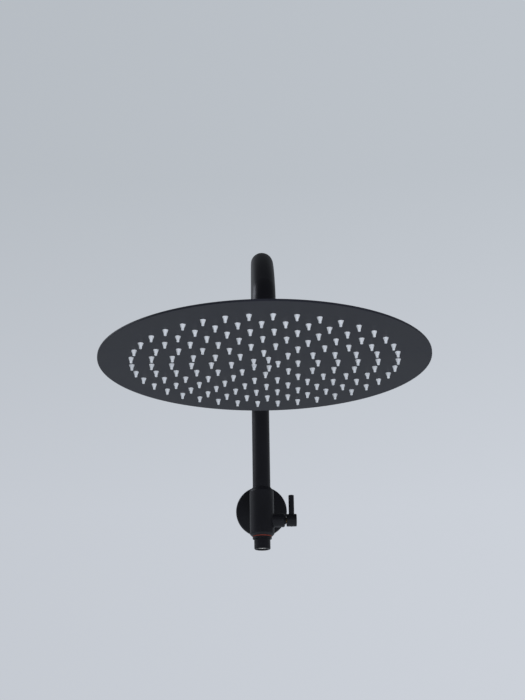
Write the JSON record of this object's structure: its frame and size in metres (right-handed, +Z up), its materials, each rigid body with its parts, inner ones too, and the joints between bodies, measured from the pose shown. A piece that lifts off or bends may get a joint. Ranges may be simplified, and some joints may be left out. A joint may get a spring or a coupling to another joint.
{
  "type": "rainfall shower column",
  "caption": "Wall-fed gooseneck shower column with a lever diverter, a hose outlet and a thin round rain head on a ball joint.",
  "frame": {"origin": "on the wall plane, on the axis of the threaded wall inlet", "axes": "+Y into the wall, +X to the right of a person facing it, +Z up"},
  "size_m": [0.3, 0.714, 0.2555],
  "materials": {
    "black_tube": "satin black powder coat on a stainless tube",
    "black_body": "satin black coat on brass",
    "black_sheet": "satin black coat on stainless sheet",
    "grey_silicone": "moulded light grey silicone",
    "black_rubber": "moulded black rubber",
    "grey_foam": "closed-cell foam",
    "brass": "turned brass",
    "dark_steel": "black oxide on steel",
    "stainless": "bright stainless",
    "white_acetal": "moulded acetal",
    "fibre": "pressed red fibre"
  },
  "bodies": {
    "column": {"gooseneck_tube": "black_tube", "arm_nipple": "brass", "valve_body": "black_body", "riser_orings": "black_rubber", "riser_grub_screw": "dark_steel", "wall_spigot": "brass", "spigot_orings": "black_rubber", "spigot_grub_screw": "dark_steel", "wall_flange": "black_sheet", "flange_ring": "black_rubber", "wall_gasket": "grey_foam", "diverter_sleeve": "brass", "sleeve_orings": "black_rubber", "bonnet_nut": "black_body", "hose_outlet": "brass", "outlet_washer": "fibre", "check_valve_cage": "white_acetal", "check_valve_spring": "stainless", "swivel_ball": "black_body", "filter_washer": "black_rubber", "filter_screen": "stainless", "flow_regulator": "white_acetal"},
    "diverter_lever": {"diverter_spool": "brass", "spool_orings": "black_rubber", "diverter_knob": "black_body", "knob_grub_screw": "dark_steel", "lever_pin": "black_body"},
    "check_poppet": {"check_valve_poppet": "white_acetal"},
    "joint_liner": {"upper_liner": "white_acetal"},
    "joint_seat": {"ball_seat": "white_acetal"},
    "rain_head": {"head_hub": "black_body", "swivel_nut": "black_body", "head_back_plate": "black_sheet", "head_face_plate": "black_sheet", "nozzle_mat": "grey_silicone"}
  },
  "joints": [
    {"name": "diverter_turn", "type": "hinge", "parent": "column", "child": "diverter_lever", "pos_m": [0.03655, -0.06, -0.0243], "axis": [1, 0, 0], "range_deg": [0, 180]},
    {"name": "check_valve_slide", "type": "slide", "parent": "column", "child": "check_poppet", "axis": [0, 0, -1], "range_m": [0, 0.002], "stiffness_N_per_m": 60, "springref_m": -0.0005, "deforming": ["check_valve_spring"]},
    {"name": "head_tilt_fore", "type": "hinge", "parent": "column", "child": "joint_liner", "pos_m": [0, -0.55, 0.03306], "axis": [1, 0, 0], "range_deg": [-15, 15]},
    {"name": "head_tilt_side", "type": "hinge", "parent": "joint_liner", "child": "joint_seat", "pos_m": [0, -0.55, 0.03306], "axis": [0, 1, 0], "range_deg": [-15, 15]},
    {"name": "head_spin", "type": "hinge", "parent": "joint_seat", "child": "rain_head", "pos_m": [0, -0.55, 0.03306], "axis": [0, 0, 1], "continuous": true}
  ]
}
